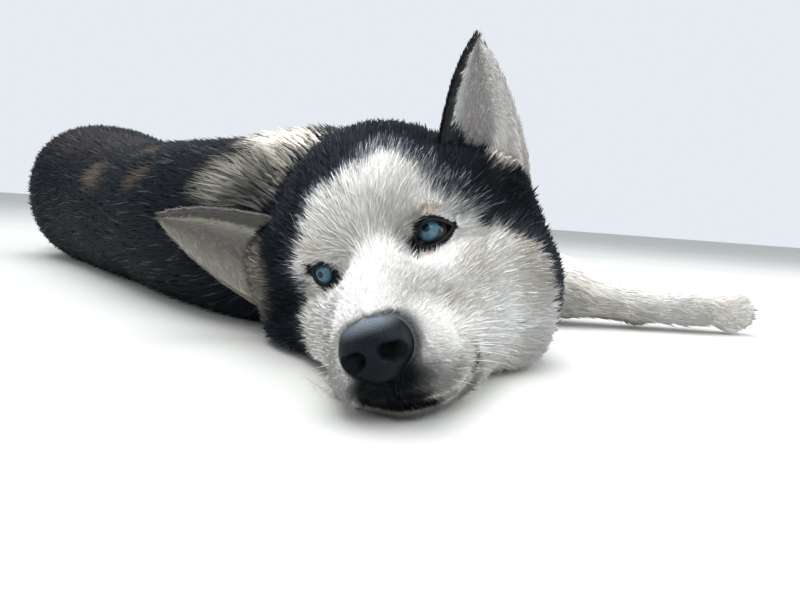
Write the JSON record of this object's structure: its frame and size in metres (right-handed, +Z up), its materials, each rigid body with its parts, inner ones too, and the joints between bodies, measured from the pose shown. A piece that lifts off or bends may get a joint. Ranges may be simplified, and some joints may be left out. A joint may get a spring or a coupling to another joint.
{
  "type": "siberian husky lying on its side, life-size still model",
  "caption": "Life-size siberian husky lying on its right side, chin on the floor, ears spread and a white foreleg stretched out.",
  "frame": {"origin": "middle of the bounding box, on the floor that the dog lies on", "axes": "+Z up, +Y along the trunk from the head to the tail, +X from the back to the legs"},
  "size_m": [0.5904, 1.2196, 0.2257],
  "materials": {
    "coat_black": "black and grey guard hair",
    "coat_grey": "slate grey coat with pale tips",
    "coat_white": "cream white coat",
    "nose_skin": "black pebbled nose leather, slightly moist",
    "eye": "wet, ice-blue iris",
    "claw": "smooth horn"
  },
  "bodies": {
    "root": {"head": "coat_grey", "muzzle": "coat_white", "lower_jaw": "coat_white", "nose": "nose_skin", "eye_left": "eye", "eye_right": "eye", "ear_left": "coat_grey", "ear_right": "coat_grey", "neck": "coat_black", "chest": "coat_black", "loin": "coat_black", "hindquarters": "coat_black", "forearm_left": "coat_white", "forepaw_left": "coat_white", "forearm_right": "coat_white", "forepaw_right": "coat_white", "thigh_left": "coat_grey", "shank_left": "coat_grey", "hindpaw_left": "coat_grey", "thigh_right": "coat_grey", "shank_right": "coat_grey", "hindpaw_right": "coat_grey", "claw_foreleg_left_1": "claw", "claw_foreleg_left_2": "claw", "claw_foreleg_left_3": "claw", "claw_foreleg_left_4": "claw", "claw_foreleg_right_1": "claw", "claw_foreleg_right_2": "claw", "claw_foreleg_right_3": "claw", "claw_foreleg_right_4": "claw", "claw_hindleg_left_1": "claw", "claw_hindleg_left_2": "claw", "claw_hindleg_left_3": "claw", "claw_hindleg_left_4": "claw", "claw_hindleg_right_1": "claw", "claw_hindleg_right_2": "claw", "claw_hindleg_right_3": "claw", "claw_hindleg_right_4": "claw", "tail_root": "coat_black", "tail_end": "coat_white"}
  },
  "joints": []
}
